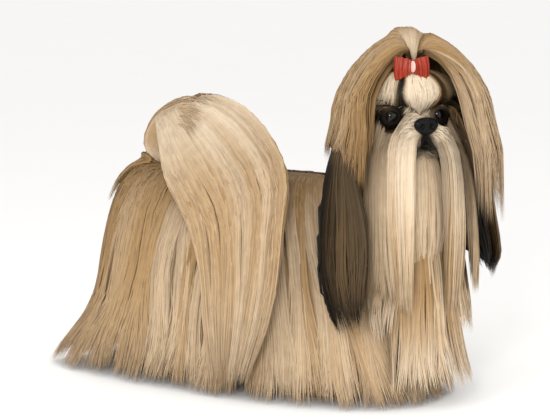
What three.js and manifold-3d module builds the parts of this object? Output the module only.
// A standing shih tzu in full coat, life size, in millimetres: X forward, Y to the dog's left, Z up.
import * as THREE from "three";
import { mergeVertices } from "three/addons/utils/BufferGeometryUtils.js";
import Module from "manifold-3d";

const wasm = await Module();
wasm.setup();

// Gap kept between pieces that touch
const GAP = 0.3;

// Heights of the standing dog in its coat
const BACK_HEIGHT = 252;
const BODY_MIDDLE = -6;
const COAT_FRONT = 256;
const COAT_REAR = 226;
const COAT_HALF_WIDTH = 132;
const BELLY_HEIGHT = 96;
const COAT_SQUARENESS = 2.8;

// The head's middle, between and behind the eyes, turned to the dog's right
const HEAD_PLACE = new THREE.Vector3(185, 16, 326);
const HEAD_TURN = -38;
const HEAD_TILT = 4;

// Skull, muzzle and eyes
const SKULL = { length: 56, width: 52, height: 48 };
const EYE_RADIUS = 11;
const LID = 2;
const EYE_FORWARD = 34;
const EYE_SIDE = 29;
const EYE_LEVEL = -3;
const NOSE_FORWARD = 71;
const NOSE_LEVEL = -14;
const NOSE_WIDTH = 23;

// Long hair of the head: a bell round this point of the head's own frame
const BELL_FORWARD = 20;
const BELL_SIDE = 5;
const BELL_RADIUS = 90;
const TIE_FORWARD = 30;
const TIE_HEIGHT = 52;
const BOW_FORWARD = 50;
const BOW_HEIGHT = 51;

// Legs, from the paws' middles
const FRONT_LEG = { forward: 108, side: 50 };
const HIND_LEG = { forward: -112, side: 52 };
const PAW = { length: 27, width: 21, height: 20 };

const radians = THREE.MathUtils.degToRad;
const clamp = THREE.MathUtils.clamp;
const smooth = THREE.MathUtils.smoothstep;
const mix = THREE.MathUtils.lerp;

// Seeded random numbers, so that every run gives the same coat
let seed = 20;
function random(low = 0, high = 1) {
  seed = (seed * 1664525 + 1013904223) % 4294967296;
  return low + (high - low) * (seed / 4294967296);
}

// A smooth curve through evenly spaced stops, from t = 0 to 1
function curve(t, ...stops) {
  const spans = stops.length - 1;
  const place = clamp(t, 0, 1) * spans;
  const i = Math.min(Math.floor(place), spans - 1);
  const u = place - i;
  const before = i > 0 ? stops[i - 1] : 2 * stops[0] - stops[1];
  const after = i + 2 <= spans ? stops[i + 2] : 2 * stops[spans] - stops[spans - 1];
  const [a, b] = [stops[i], stops[i + 1]];
  const cubic = (3 * a - before - 3 * b + after) * u ** 3;
  const square = (2 * before - 5 * a + 4 * b - after) * u ** 2;
  return 0.5 * (2 * a + (b - before) * u + square + cubic);
}

function bezier(t, a, b, c, d) {
  const s = 1 - t;
  return s ** 3 * a + 3 * s * s * t * b + 3 * s * t * t * c + t ** 3 * d;
}

const signedPower = (value, power) => Math.sign(value) * Math.abs(value) ** power;

// The head's frame: forward, to its left and up
const yaw = radians(HEAD_TURN);
const pitch = radians(HEAD_TILT);
const headForward = new THREE.Vector3(Math.cos(yaw), Math.sin(yaw), Math.tan(pitch)).normalize();
const headLeft = new THREE.Vector3(-Math.sin(yaw), Math.cos(yaw), 0);
const headUp = new THREE.Vector3().crossVectors(headForward, headLeft);

function onHead(forward, left, up) {
  return HEAD_PLACE.clone()
    .addScaledVector(headForward, forward)
    .addScaledVector(headLeft, left)
    .addScaledVector(headUp, up);
}

// Solid from a closed geometry, after each point is moved by place
function bend(geometry, place) {
  const plain = geometry.clone();
  plain.deleteAttribute("normal");
  plain.deleteAttribute("uv");
  const merged = mergeVertices(plain, 1e-4);
  const points = merged.attributes.position;
  const at = new THREE.Vector3();
  for (let i = 0; i < points.count; i++) {
    at.fromBufferAttribute(points, i);
    const moved = place(at);
    points.setXYZ(i, moved.x, moved.y, moved.z);
  }
  const faces = Uint32Array.from(merged.index.array);
  if (signedVolume(points.array, faces) < 0) {
    for (let i = 0; i < faces.length; i += 3) {
      [faces[i + 1], faces[i + 2]] = [faces[i + 2], faces[i + 1]];
    }
  }
  const vertProperties = Float32Array.from(points.array);
  return new wasm.Manifold(new wasm.Mesh({ numProp: 3, vertProperties, triVerts: faces }));
}

function signedVolume(points, faces) {
  let six = 0;
  const corner = (i) => new THREE.Vector3(points[3 * i], points[3 * i + 1], points[3 * i + 2]);
  for (let i = 0; i < faces.length; i += 3) {
    six += corner(faces[i]).dot(corner(faces[i + 1]).cross(corner(faces[i + 2])));
  }
  return six;
}

// Join pieces into one body and keep its largest closed surface
function fuse(base, pieces = [], cuts = []) {
  let whole = base;
  for (const piece of pieces) {
    whole = whole.add(piece);
  }
  for (const cut of cuts) {
    whole = whole.subtract(cut);
  }
  return largest(whole);
}

function largest(solid) {
  const shells = solid.decompose();
  shells.sort((a, b) => b.volume() - a.volume());
  return shells[0];
}

// The coat's outer surface on the body: turn is 0 at the chest and pi at the rump,
// fall is 0 at the parting along the back and 1 at the floor
function coatAt(turn, fall) {
  const dip = smooth(fall, 0.12, 0.5) * (1 - smooth(fall, 0.6, 0.95));
  const shoulder = 20 * Math.exp(-(((turn - 0.75) / 0.45) ** 2)) * dip;
  const sweep = 48 * smooth(fall, 0.7, 1) * Math.exp(-(((turn - 2.5) / 0.5) ** 2));
  return {
    front: bezier(fall, 118, 180, 210, COAT_FRONT) - shoulder,
    rear: bezier(fall, 144, 206, 196, COAT_REAR) + sweep,
    half: bezier(fall, 2, 114, 92, COAT_HALF_WIDTH) - shoulder,
    height: bezier(fall, BACK_HEIGHT, BACK_HEIGHT + 4, 98, 0),
  };
}

// Turns of the coat that lie at even distances along its hem, u from 0 at the chest to 1 at the rump
const HEM_STEPS = 240;
const hemLengths = [0];
for (let i = 1; i <= HEM_STEPS; i++) {
  const [a, b] = [i - 1, i].map((k) => onCoat((Math.PI * k) / HEM_STEPS, 0.8, 1));
  hemLengths.push(hemLengths[i - 1] + a.distanceTo(b));
}

function turnAt(u) {
  if (u < 0 || u > 1) {
    return u < 0 ? -turnAt(-u) : 2 * Math.PI - turnAt(2 - u);
  }
  const wanted = u * hemLengths[HEM_STEPS];
  const i = Math.max(hemLengths.findIndex((length) => length >= wanted), 1);
  const part = (wanted - hemLengths[i - 1]) / (hemLengths[i] - hemLengths[i - 1]);
  return (Math.PI * (i - 1 + part)) / HEM_STEPS;
}

function onCoat(turn, fall, side, inset = 0) {
  const sizes = coatAt(turn, fall);
  const along = signedPower(Math.cos(turn), 2 / COAT_SQUARENESS);
  const across = signedPower(Math.sin(turn), 2 / COAT_SQUARENESS);
  const reach = (along > 0 ? sizes.front : sizes.rear) - inset;
  const half = Math.max(sizes.half - inset, sizes.half * 0.3);
  const drop = inset * (1 - smooth(fall, 0, 0.5));
  return new THREE.Vector3(BODY_MIDDLE + reach * along, side * half * across, sizes.height - drop);
}

// How far down the coat a height is
function fallAt(height) {
  let low = 0;
  let high = 1;
  for (let i = 0; i < 22; i++) {
    const middle = (low + high) / 2;
    if (coatAt(0, middle).height > height) {
      low = middle;
    } else {
      high = middle;
    }
  }
  return (low + high) / 2;
}

// Move a point out until it lies the given distance over the body's coat
function overCoat(point, lift) {
  const fall = fallAt(clamp(point.z, 0, BACK_HEIGHT));
  const power = COAT_SQUARENESS / 2;
  let turn = Math.PI / 4;
  let level = 1;
  for (let i = 0; i < 4; i++) {
    const sizes = coatAt(turn, fall);
    const forward = (point.x - BODY_MIDDLE) / (point.x > BODY_MIDDLE ? sizes.front : sizes.rear);
    const across = Math.abs(point.y) / sizes.half;
    turn = Math.atan2(across ** power, signedPower(forward, power));
    level = (Math.abs(forward) ** COAT_SQUARENESS + across ** COAT_SQUARENESS) ** (1 / COAT_SQUARENESS);
  }
  const edge = onCoat(turn, fall, Math.sign(point.y));
  const distance = Math.hypot(edge.x - BODY_MIDDLE, edge.y);
  const shortfall = (1 + lift / distance) / level - 1;
  const push = 1 + (shortfall + Math.hypot(shortfall, 0.03)) / 2;
  return new THREE.Vector3(BODY_MIDDLE + (point.x - BODY_MIDDLE) * push, point.y * push, point.z);
}

// Long hair round the head, by its angle from the face and its distance from the bell's middle
function roundHead(angle, distance, up) {
  const forward = BELL_FORWARD + distance * Math.cos(angle);
  const left = BELL_SIDE + distance * Math.sin(angle);
  return onHead(forward, left, up);
}

function bellRadius(up) {
  if (up > 0) {
    return BELL_RADIUS * (1 - clamp(up / 93, 0, 1) ** 1.6) ** (1 / 1.6);
  }
  return BELL_RADIUS + 10 * smooth(-up, 0, 50);
}

// Families of strands: q runs across the strands, v from root to tip
function fountainStrand(q, v) {
  const angle = Math.sign(q || 1) * Math.PI - q * radians(180 - 56);
  const sides = smooth(Math.abs(q), 0.35, 0.7);
  const crest = TIE_HEIGHT + 36;
  const up = curve(v, TIE_HEIGHT + 3, crest, crest - 5, 18, mix(-20, -40, sides), mix(-58, -95, sides));
  const spread = smooth(v, 0.02, 0.42);
  const radius = bellRadius(Math.min(up, 86));
  const forward = TIE_FORWARD * (1 - spread) + (BELL_FORWARD + radius * Math.cos(angle)) * spread;
  const left = (BELL_SIDE + radius * Math.sin(angle)) * spread;
  return overCoat(onHead(forward, left, up), 18);
}

function earStrand(q, v, side) {
  const angle = radians(curve(v, 98 + 10 * q, 92 + 18 * q, 87 + 22 * q, 83 + 24 * q, 76 + 12 * q));
  const radius = curve(v, 51 - side * BELL_SIDE, 82, 88, 98, 90);
  const up = curve(v, 18, -30, -100, -175, -238 + 22 * Math.abs(q));
  return overCoat(roundHead(side * angle, radius, up), 27);
}

function cheekStrand(q, v, side) {
  const angle = radians(curve(v, 70 + 12 * q, 69 + 12 * q, 66 + 13 * q, 62 + 14 * q));
  const radius = curve(v, 37 - side * BELL_SIDE, 62, 72, 72);
  const up = curve(v, 14, -54, -140, -212);
  return overCoat(roundHead(side * angle, radius, up), 24);
}

function moustacheStrand(q, v, side) {
  const left = curve(v, 8 + 10 * q, 18 + 23 * q, 21 + 26 * q, 21 + 24 * q, 20 + 18 * q);
  const forward = curve(v, 62 - 20 * q, 76 - 20 * q, 77 - 15 * q, 71 - 9 * q, 66 - 5 * q);
  const up = curve(v, -20 + 8 * q, -46 + 10 * q, -105, -170, -236 + 16 * q);
  return overCoat(onHead(forward, side * left, up), 29);
}

function beardStrand(q, v) {
  const left = curve(v, 11 * q, 15 * q, 17 * q, 12 * q, 6 * q);
  const forward = curve(v, 50, 62, 64, 60, 54) - 5 * Math.abs(q);
  const up = curve(v, -44, -68, -118, -162, -204);
  return onHead(forward, left, up);
}

function foreheadStrand(q, v) {
  const left = curve(v, 32 * q, 35 * q, 27 * q, 8 * q);
  const forward = curve(v, 38 - 15 * q * q, 56 - 11 * q * q, 51 - 8 * q * q, 37);
  const up = curve(v, 6 + 12 * Math.abs(q), 24, 42, 51);
  return onHead(forward, left, up);
}

// Hair from the throat and the sides of the neck over the chest, q from the right side to the left
function ruffStrand(q, v) {
  const angle = radians(112) * q;
  const front = Math.exp(-((angle / radians(55)) ** 2));
  const radius = curve(v, 34, 50 - 20 * front, 60 - 36 * front, 70 - 50 * front, 75 - 51 * front);
  const up = curve(v, -56, -96, -150, -208, -258);
  const out = headForward.clone().multiplyScalar(Math.cos(angle));
  out.addScaledVector(headLeft, Math.sin(angle));
  const root = neckAt(0.72).addScaledVector(out, 34);
  return overCoat(root.lerp(roundHead(angle, radius, up), smooth(v, 0, 0.3)), 10);
}

// The tail's long hair rises from it and falls over the right flank, q from the rump to the tip
function plumeStrand(q, v) {
  const t = mix(0.04 + 0.1 * q, 1, v);
  const rearX = curve(t, -142, -130, -64, -10, 10, 18, 28);
  const frontX = curve(t, -150, -98, -2, 90, 108, 102, 72);
  const rearY = curve(t, -5, -22, -92, -122, -132, -138, -140);
  const frontY = curve(t, -3, -14, -34, -90, -124, -138, -140);
  const rearZ = curve(t, 274, 308, 254, 205, 150, 90, 22);
  const frontZ = curve(t, 280, 332, 326, 267, 198, 112, 22);
  const point = new THREE.Vector3(mix(rearX, frontX, q), mix(rearY, frontY, q), mix(rearZ, frontZ, q));
  const outer = overCoat(point, 8);
  const root = q < 0.5 ? mix(0.44, 0.63, 2 * q) : mix(0.79, 0.96, 2 * q - 1);
  return tailAt(root).lerp(outer, smooth(v, 0, 0.12));
}

function rumpStrand(q, v) {
  const turn = q * radians(70);
  const reach = curve(v, 6, 20, 32, 40);
  const z = curve(v, 282, 272, 244, 206);
  const point = new THREE.Vector3(-146 - reach * Math.cos(turn), reach * Math.sin(turn), z);
  return tailAt(0.36).lerp(overCoat(point, 8), smooth(v, 0, 0.15));
}

// Outward direction of a family's surface
function facing(strand, q, v, middle) {
  const step = 0.004;
  const across = strand(q + step, v).sub(strand(q - step, v));
  const along = strand(q, v + step).sub(strand(q, v - step));
  const normal = across.cross(along).normalize();
  const out = strand(q, v).sub(middle);
  return normal.dot(out) < 0 ? normal.negate() : normal;
}

// A flap of skin that follows a family from q to q, thinner towards its end
function flap(strand, { from, to, end, thick, lift, middle, columns, rows }) {
  const sheet = new THREE.BoxGeometry(1, 1, 1, columns, rows, 1);
  return bend(sheet, (p) => {
    const q = mix(from, to, p.x + 0.5);
    const t = 0.5 - p.y;
    const depth = lift - thick * (p.z + 0.5) * (1 - 0.7 * t);
    return strand(q, end * t).addScaledVector(facing(strand, q, end * t, middle), depth);
  });
}

// A flat, tapered lock: a ridge outside, two thin edges, its root sunk in and its tip drawn to a point
function lock(strand, { at, half, lean, start, end, middle, thick, sink, lift, steps, curl }) {
  const form = new THREE.CylinderGeometry(0, 1, 1, 3, steps);
  const edge = Math.sin((2 * Math.PI) / 3);
  return bend(form, (p) => {
    const t = p.y + 0.5;
    const ring = Math.max(1 - t, 1e-6);
    const across = p.x / ring / edge;
    const ridge = (p.z / ring + 0.5) / 1.5;
    const width = half * curve(t, 0.6, 0.95, 1, 1, 0.97, 0.78, 0);
    const place = at + lean * (1 - smooth(t, 0, 0.35));
    const v = mix(start, end, t);
    const span = strand(place + half, v).distanceTo(strand(place - half, v));
    const height = Math.min(thick, 0.4 * span) * curve(t, 1, 1, 1, 0.95, 0.85, 0.6, 0.1);
    const bow = curl * smooth(t, 0.6, 1) - sink * (1 - smooth(t, 0, 0.2));
    const rise = lift + bow - (1 - ridge) * height;
    const q = place + across * width;
    return strand(q, v).addScaledVector(facing(strand, q, v, middle), rise);
  });
}

// A row of locks side by side from q to q, each a little different
const ROW_FILL = 0.93;

function lockRow(strand, options) {
  const { from, to, count, end, thick = 5, lift = 0, steps = 6, curl = 2, leans = {} } = options;
  const spacing = (to - from) / count;
  const locks = [];
  for (let i = 0; i < count; i++) {
    const at = from + spacing * (i + 0.5);
    locks.push(lock(strand, {
      ...options,
      at,
      half: Math.abs(spacing) * 0.5 * ROW_FILL * random(0.9, 1),
      lean: leans[i] ?? 0,
      start: typeof options.start === "function" ? options.start(at) : options.start,
      end: end - random(0, 0.05),
      thick: thick * random(0.85, 1),
      lift,
      steps,
      curl: curl * random(-0.4, 1),
    }));
  }
  return locks;
}

const TORSO_MIDDLE = new THREE.Vector3(BODY_MIDDLE, 0, 110);
const HEAD_MIDDLE = onHead(BELL_FORWARD, BELL_SIDE, -20);
const NECK_MIDDLE = onHead(BELL_FORWARD, BELL_SIDE, -160);
const PLUME_MIDDLE = new THREE.Vector3(-20, 10, 170);

// The trunk with the dense lower part of its coat, as one closed form
function torsoCore(grow = 0) {
  const inset = 15 - grow;
  return bend(new THREE.SphereGeometry(1, 28, 10), (p) => {
    const turn = Math.atan2(Math.abs(p.z), p.x);
    const fall = Math.acos(clamp(p.y, -1, 1)) / Math.PI;
    const side = p.z < 0 ? -1 : 1;
    const under = smooth(fall, 0.62, 1);
    const point = onCoat(turn, mix(0.03, 0.5, clamp(fall / 0.62, 0, 1)), side, inset);
    const pole = Math.hypot(p.x, p.z) < 1e-3;
    const shrink = pole ? 0 : Math.sqrt(1 - under * under * 0.75);
    const bottom = BELLY_HEIGHT - grow;
    point.x = BODY_MIDDLE + (point.x - BODY_MIDDLE) * shrink;
    point.y *= shrink;
    point.z = fall > 0.62 ? mix(point.z, bottom, smooth(under, 0, 0.8)) : point.z;
    return point;
  });
}

// A block that keeps one part of space, for cutting a form into its named parts
function block(low, high) {
  const size = new THREE.Vector3().subVectors(high, low);
  const middle = new THREE.Vector3().addVectors(low, high).multiplyScalar(0.5);
  return bend(new THREE.BoxGeometry(1, 1, 1), (p) => p.clone().multiply(size).add(middle));
}

const FAR = 600;
const COAT_LOCKS = 9;
const WAVE = 0.012;

// Where the middle of the flank lies along the hem
const FLANK = hemLengths[HEM_STEPS / 2] / hemLengths[HEM_STEPS];

function torsoPart(front, side) {
  const seam = GAP / 2;
  const lowX = front ? BODY_MIDDLE + seam : -FAR;
  const highX = front ? FAR : BODY_MIDDLE - seam;
  const lowY = side > 0 ? seam : -FAR;
  const highY = side > 0 ? FAR : -seam;
  const keep = block(new THREE.Vector3(lowX, lowY, -FAR), new THREE.Vector3(highX, highY, FAR));
  const core = torsoCore().intersect(keep);
  const wave = (q, v) => WAVE * Math.sin(11 * q + 4 * v) * v * v * Math.sin(Math.PI * clamp(q, 0, 1));
  const strand = (q, v) => onCoat(turnAt(q + wave(q, v)), v, side);
  const [from, to] = front ? [0, FLANK] : [FLANK, 1];
  const spacing = (to - from) / COAT_LOCKS;
  // The outer row starts lower round the neck and the tail
  const start = (q) => mix(0.34, 0.03, smooth(q, 0.2, 0.3)) + 0.13 * smooth(q, 0.8, 0.95);
  const outer = lockRow(strand, {
    from, to, count: COAT_LOCKS, start, end: 0.995, middle: TORSO_MIDDLE, sink: 19, steps: 5,
  });
  // The under row also closes the seams: one lock there crosses to the next part of the trunk
  const first = front && side > 0 ? 0 : 1;
  const last = front || side > 0 ? COAT_LOCKS : COAT_LOCKS - 1;
  const count = last - first + 1;
  const lean = 0.55 * spacing;
  const inner = lockRow(strand, {
    from: from + spacing * (first - 0.5), to: from + spacing * (last + 0.5), count, start: 0.36,
    end: 0.985, middle: TORSO_MIDDLE, sink: 13, lift: -7, steps: 4, curl: 0,
    leans: { 0: first === 0 ? lean : 0, [count - 1]: last === COAT_LOCKS ? -lean : 0 },
  });
  const neighbours = torsoCore(GAP).subtract(keep);
  const locks = [...outer, ...inner].map((piece) => piece.subtract(neighbours));
  return fuse(core, locks, [neckColumn(GAP), tailLength(0, GAP)]);
}

// A leg from the trunk down to its paw, with four toes and flat pads
const TOES = 4;

function leg({ forward, side }, hand, top, thick) {
  const y = hand * side;
  const limb = bend(new THREE.CylinderGeometry(1, 1, 1, 8, 2), (p) => {
    const t = p.y + 0.5;
    const radius = curve(t, 13, 14, 17, thick);
    const ahead = curve(t, 0, -3, -4, forward > 0 ? -2 : 10);
    const inward = hand * 8 * smooth(t, 0.5, 1);
    const x = forward + ahead + p.x * radius * 1.15;
    return new THREE.Vector3(x, y - inward + p.z * radius, mix(9, top, t));
  });
  const paw = bend(new THREE.SphereGeometry(1, 16, 5), (p) => {
    const across = Math.asin(clamp(p.z, -1, 1));
    const toe = 1 + 0.14 * Math.cos(2 * TOES * across) * smooth(p.x, 0.2, 0.8);
    const z = Math.max(PAW.height * (0.42 + 0.6 * p.y), 0);
    return new THREE.Vector3(forward + 9 + p.x * PAW.length * toe, y + p.z * PAW.width, z);
  });
  return fuse(limb, [paw], [torsoCore(GAP)]);
}

// The neck, from the trunk up to the back of the skull
const NECK_BASE = new THREE.Vector3(122, 0, 196);
const NECK_TOP = onHead(-8, 0, -20);
const neckAt = (t) => NECK_BASE.clone().lerp(NECK_TOP, t);
const neckRadius = (t) => curve(t, 48, 41, 36);

function neckColumn(grow = 0) {
  return bend(new THREE.CylinderGeometry(1, 1, 1, 12, 3), (p) => {
    const t = p.y + 0.5;
    const radius = neckRadius(t) + grow;
    return neckAt(t).add(new THREE.Vector3(p.x * radius, p.z * radius, 0));
  });
}

// Hair that parts on the neck's crest and falls over the shoulder, q from the withers to the head
function napeStrand(q, v, side) {
  const crest = neckAt(mix(0.5, 0.92, q));
  const x = crest.x - curve(v, 22, 12, 4, -2, -8);
  const y = crest.y * (1 - v) + side * curve(v, 4, 42, 52, 66, 80);
  const nearCrest = crest.z + curve(v, 6, 0, -32, -50, -60);
  const z = mix(nearCrest, curve(v, 258, 240, 200, 150, 104), smooth(v, 0.2, 0.9));
  return overCoat(new THREE.Vector3(x, y, z), 9);
}

function neck() {
  const middle = NECK_MIDDLE;
  const outer = lockRow(ruffStrand, {
    from: -1, to: 1, count: 11, start: 0.02, end: 0.99, thick: 4, sink: 3, middle, steps: 5,
  });
  const inner = lockRow(ruffStrand, {
    from: -0.88, to: 0.88, count: 6, start: 0.02, end: 0.9, thick: 3.5, sink: 3, lift: -4.5, middle,
    steps: 5, curl: 0,
  });
  const nape = [-1, 1].map((side) => lockRow((q, v) => napeStrand(q, v, side), {
    from: 0, to: side > 0 ? 1 : 0.5, count: side > 0 ? 5 : 2, start: 0.03, end: 0.99, sink: 4,
    middle: NECK_BASE, steps: 5,
  }));
  return fuse(neckColumn(), [...outer, ...inner, ...nape.flat()], [skull(GAP)]);
}

// The skull with its cheeks, rounder in front over the eyes
function skull(grow = 0) {
  return bend(new THREE.SphereGeometry(1, 14, 8), (p) => {
    const flat = p.x > 0 ? 0.9 : 1;
    const forward = -6 + (SKULL.length + grow) * p.x * flat;
    const left = (SKULL.width + grow) * p.z;
    const up = (SKULL.height + grow) * p.y;
    return onHead(forward, left, up);
  });
}

function ball(forward, left, up, radius) {
  const form = new THREE.SphereGeometry(radius, 12, 7);
  return bend(form, (p) => onHead(forward + p.x, left + p.z, up + p.y));
}

function oval(forward, left, up, length, width, height, around = 10, rings = 6) {
  const form = new THREE.SphereGeometry(1, around, rings);
  return bend(form, (p) => onHead(forward + p.x * length, left + p.z * width, up + p.y * height));
}

function head() {
  const pieces = [];
  const cuts = [neckColumn(GAP)];
  for (const side of [-1, 1]) {
    pieces.push(ball(EYE_FORWARD, side * EYE_SIDE, EYE_LEVEL, EYE_RADIUS + LID));
    cuts.push(ball(EYE_FORWARD, side * EYE_SIDE, EYE_LEVEL, EYE_RADIUS + GAP));
    cuts.push(oval(EYE_FORWARD + 12, side * (EYE_SIDE + 1), EYE_LEVEL, 10, 9.2, 7.4));
    const strand = (q, v) => cheekStrand(q, v, side);
    const middle = NECK_MIDDLE;
    pieces.push(...lockRow(strand, {
      from: -1, to: 1, count: 3, start: 0, end: 0.98, sink: 4, middle, steps: 5,
    }));
    pieces.push(...lockRow(strand, {
      from: -0.6, to: 0.6, count: 2, start: 0, end: 0.9, sink: 4, lift: -6, middle, steps: 5, curl: 0,
    }));
  }
  pieces.push(...lockRow(foreheadStrand, {
    from: -1, to: 1, count: 7, start: 0, end: 0.78, thick: 6, sink: 2, middle: HEAD_MIDDLE, steps: 4,
    curl: 0,
  }));
  return fuse(skull(), pieces, [...cuts, ...bowSpace()]);
}

function eye(side) {
  return ball(EYE_FORWARD, side * EYE_SIDE, EYE_LEVEL, EYE_RADIUS);
}

// The muzzle: a short bridge over two rounded upper lips
function muzzleForm(grow = 0) {
  const bridge = oval(44, 0, -15, 25 + grow, 18 + grow, 15 + grow, 12, 7);
  const lips = [-1, 1].map((side) => oval(51, side * 12, -25, 20 + grow, 16 + grow, 15 + grow, 12, 7));
  return bridge.add(lips[0]).add(lips[1]);
}

function noseForm(grow = 0) {
  return bend(new THREE.SphereGeometry(1, 12, 7), (p) => {
    const width = (NOSE_WIDTH / 2 + grow) * (1 + 0.18 * p.y);
    return onHead(NOSE_FORWARD - 3 + p.x * (6.5 + grow), p.z * width, NOSE_LEVEL + p.y * (7.6 + grow));
  });
}

function muzzle() {
  const whiskers = [-1, 1].map((side) => {
    const strand = (q, v) => moustacheStrand(q, v, side);
    const middle = HEAD_MIDDLE;
    const outer = lockRow(strand, {
      from: 0, to: 1, count: 5, start: 0, end: 0.99, sink: 5, middle, steps: 5,
    });
    const inner = lockRow(strand, {
      from: 0.1, to: 0.9, count: 3, start: 0, end: 0.9, sink: 5, lift: -6, middle, steps: 5, curl: 0,
    });
    return [...outer, ...inner];
  });
  return fuse(muzzleForm(), whiskers.flat(), [skull(GAP), noseForm(GAP), eyeGuards()]);
}

function eyeGuards() {
  const radius = EYE_RADIUS + LID + GAP;
  const guards = [-1, 1].map((side) => ball(EYE_FORWARD, side * EYE_SIDE, EYE_LEVEL, radius));
  return guards[0].add(guards[1]);
}

function jaw() {
  const chin = oval(46, 0, -43, 19, 17, 7);
  const middle = onHead(10, 0, -110);
  const outer = lockRow(beardStrand, {
    from: -1, to: 1, count: 5, start: 0, end: 0.99, sink: 5, middle, steps: 5,
  });
  const inner = lockRow(beardStrand, {
    from: -0.8, to: 0.8, count: 3, start: 0, end: 0.9, thick: 4, sink: 5, lift: -6, middle, steps: 5,
    curl: 0,
  });
  return fuse(chin, [...outer, ...inner], [skull(GAP), muzzleForm(GAP), neckColumn(GAP)]);
}

function nose() {
  const nostrils = [-1, 1].map((side) => {
    return oval(NOSE_FORWARD + 3, side * 4.6, NOSE_LEVEL + 0.5, 4, 2.4, 2, 7, 5);
  });
  return fuse(noseForm(), [], nostrils);
}

// The ear: its hanging leather, hollowed on the inner face, and its long feathering
function ear(side) {
  const strand = (q, v) => earStrand(q, v, side);
  const middle = NECK_MIDDLE;
  const leather = flap(strand, {
    from: -0.85, to: 0.85, end: 0.36, thick: 10, lift: -6, middle, columns: 5, rows: 4,
  });
  const cup = oval(14, side * 50, -12, 13, 9, 20);
  const outer = lockRow(strand, {
    from: -1, to: 1, count: 6, start: 0.03, end: 0.99, sink: 6.5, middle, steps: 5,
  });
  const inner = lockRow(strand, {
    from: -0.75, to: 0.75, count: 3, start: 0.31, end: 0.93, sink: 2, lift: -8, middle, steps: 4, curl: 0,
  });
  return fuse(leather.subtract(cup), [...outer, ...inner], [skull(GAP)]);
}

// Topknot: the tied stalk, the full crown of hair over it and its falling fountain
function topknot() {
  const stalk = bend(new THREE.CylinderGeometry(1, 1, 1, 10, 3), (p) => {
    const t = p.y + 0.5;
    const radius = curve(t, 11, 9, 20);
    return onHead(TIE_FORWARD - 4 * t + p.x * radius, p.z * radius, mix(38, 84, t));
  });
  const crown = bend(new THREE.SphereGeometry(1, 14, 6), (p) => {
    const lower = 18 * smooth(-p.x, 0, 0.6) * (1 - Math.max(p.y, 0));
    const up = 24 + Math.max(p.y, -0.02) * 50 - lower;
    return onHead(BELL_FORWARD - 14 + p.x * (p.x < 0 ? 65 : 60), BELL_SIDE + p.z * 62, up);
  });
  const fall = [-1, 1].map((side) => [
    ...lockRow(fountainStrand, {
      from: side * 0.002, to: side, count: 8, start: 0.14, end: 0.99, sink: 5, middle: HEAD_MIDDLE,
      steps: 7,
    }),
    ...lockRow(fountainStrand, {
      from: side * 0.06, to: side * 0.94, count: 6, start: 0.44, end: 0.95, sink: 22, lift: -6,
      middle: HEAD_MIDDLE, steps: 4, curl: 0,
    }),
  ]);
  const face = oval(66, 0, 6, 40, 50, 66);
  const cuts = [skull(GAP), neckColumn(GAP), ...bowSpace()];
  return fuse(stalk, [crown.subtract(face), ...fall.flat()], cuts);
}

function bowKnot(grow = 0) {
  return oval(BOW_FORWARD, 0, BOW_HEIGHT, 6 + grow, 8 + grow, 7 + grow);
}

function bowSpace() {
  return [oval(BOW_FORWARD, 0, BOW_HEIGHT, 11, 31, 19)];
}

function bowLoop(side) {
  const loop = bend(new THREE.SphereGeometry(1, 10, 5), (p) => {
    const out = clamp(0.5 + 0.5 * p.z, 0, 1);
    const pleat = 1 + 0.12 * Math.cos(9 * Math.atan2(p.y, p.x)) * out;
    const height = 11 * (0.45 + 0.65 * out) * pleat;
    const left = side * (14 + 11 * p.z);
    return onHead(BOW_FORWARD - 1 - 2 * out + p.x * 5 * pleat, left, BOW_HEIGHT + p.y * height - 2 * out);
  });
  return fuse(loop, [], [bowKnot(GAP)]);
}

// The tail rises from the rump and curls forward over the back
function tailAt(t) {
  const x = bezier(t, -142, -164, -134, -84);
  const z = bezier(t, 214, 292, 326, 302);
  return new THREE.Vector3(x, bezier(t, 0, 3, 8, 6), z);
}

// Its three lengths, from joint to joint
const TAIL_JOINTS = [-0.02, 0.405, 0.71, 1];
const tailRadius = (t) => mix(15, 7, smooth(t, 0, 1));

function tailLength(index, grow = 0) {
  const [from, to] = [TAIL_JOINTS[index] - grow * 0.01, TAIL_JOINTS[index + 1] - 0.003 + grow * 0.01];
  return bend(new THREE.CylinderGeometry(1, 1, 1, 10, 3), (p) => {
    const t = mix(from, to, p.y + 0.5);
    const radius = tailRadius(t) + grow;
    const along = tailAt(t + 0.01).sub(tailAt(t - 0.01)).normalize();
    const sideways = new THREE.Vector3(0, 1, 0).cross(along).normalize();
    const other = new THREE.Vector3().crossVectors(along, sideways);
    return tailAt(t).addScaledVector(sideways, p.x * radius).addScaledVector(other, p.z * radius);
  });
}

function tailBase() {
  const middle = new THREE.Vector3(-120, 0, 230);
  const fringe = lockRow(rumpStrand, {
    from: -1, to: 1, count: 7, start: 0, end: 0.99, sink: 1, middle, steps: 5,
  });
  return fuse(tailLength(0), fringe);
}

// A length of the tail with its share of the plume
function tailPlume(index, from, to, count) {
  const outer = lockRow(plumeStrand, {
    from, to, count, start: 0, end: 0.99, sink: 0, middle: PLUME_MIDDLE, steps: 8,
  });
  const inner = lockRow(plumeStrand, {
    from: from + 0.05, to: to - 0.05, count: count - 1, start: 0, end: 0.95, sink: 0, lift: -6,
    middle: PLUME_MIDDLE, steps: 7, curl: 0,
  });
  const others = [0, 1, 2].filter((other) => other !== index);
  return fuse(tailLength(index), [...outer, ...inner], others.map((other) => tailLength(other, GAP)));
}

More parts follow.
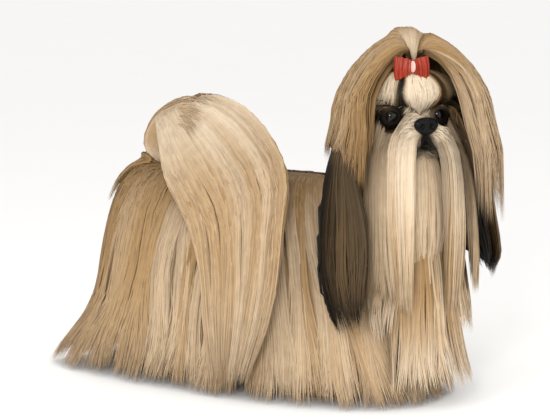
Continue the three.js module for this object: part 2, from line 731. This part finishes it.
// Finishes
const finishes = {
  gold: { color: "#b1946a", roughness: 0.55 },
  cream: { color: "#dccab5", roughness: 0.55 },
  dark: { color: "#2b261d", roughness: 0.5 },
  skin: { color: "#191716", roughness: 0.35 },
  eye: { color: "#1a120c", roughness: 0.08 },
  bow: { color: "#b5513a", roughness: 0.4 },
  pads: { color: "#3a2f29", roughness: 0.7 },
};

const dog = new THREE.Group();

function addPiece(name, solid, finish) {
  const mesh = solid.getMesh();
  const geometry = new THREE.BufferGeometry();
  geometry.setAttribute("position", new THREE.BufferAttribute(Float32Array.from(mesh.vertProperties), 3));
  geometry.setIndex(new THREE.BufferAttribute(Uint32Array.from(mesh.triVerts), 1));
  const { color, roughness } = finishes[finish];
  const material = new THREE.MeshStandardMaterial({ color, roughness, metalness: 0 });
  const piece = new THREE.Mesh(geometry, material);
  piece.name = name;
  dog.add(piece);
}

for (const [hand, side] of [["left", 1], ["right", -1]]) {
  addPiece(`torso_front_${hand}`, torsoPart(true, side), "gold");
  addPiece(`torso_rear_${hand}`, torsoPart(false, side), "gold");
  addPiece(`leg_front_${hand}`, leg(FRONT_LEG, side, 116, 19), "cream");
  addPiece(`leg_hind_${hand}`, leg(HIND_LEG, side, 116, 23), "cream");
  addPiece(`ear_${hand}`, ear(side), "dark");
  addPiece(`eye_${hand}`, eye(side), "eye");
  addPiece(`bow_loop_${hand}`, bowLoop(side), "bow");
}
addPiece("neck", neck(), "gold");
addPiece("head", head(), "cream");
addPiece("muzzle", muzzle(), "cream");
addPiece("jaw", jaw(), "cream");
addPiece("nose", nose(), "skin");
addPiece("topknot", topknot(), "gold");
addPiece("bow_knot", bowKnot(), "bow");
addPiece("tail_base", tailBase(), "gold");
addPiece("tail_middle", tailPlume(1, 0, 0.49, 5), "cream");
addPiece("tail_tip", tailPlume(2, 0.51, 1, 5), "cream");

// The origin is the middle of the floor under the whole dog
const box = new THREE.Box3().setFromObject(dog);
dog.position.set(-(box.min.x + box.max.x) / 2, -(box.min.y + box.max.y) / 2, -box.min.z);

export default dog;
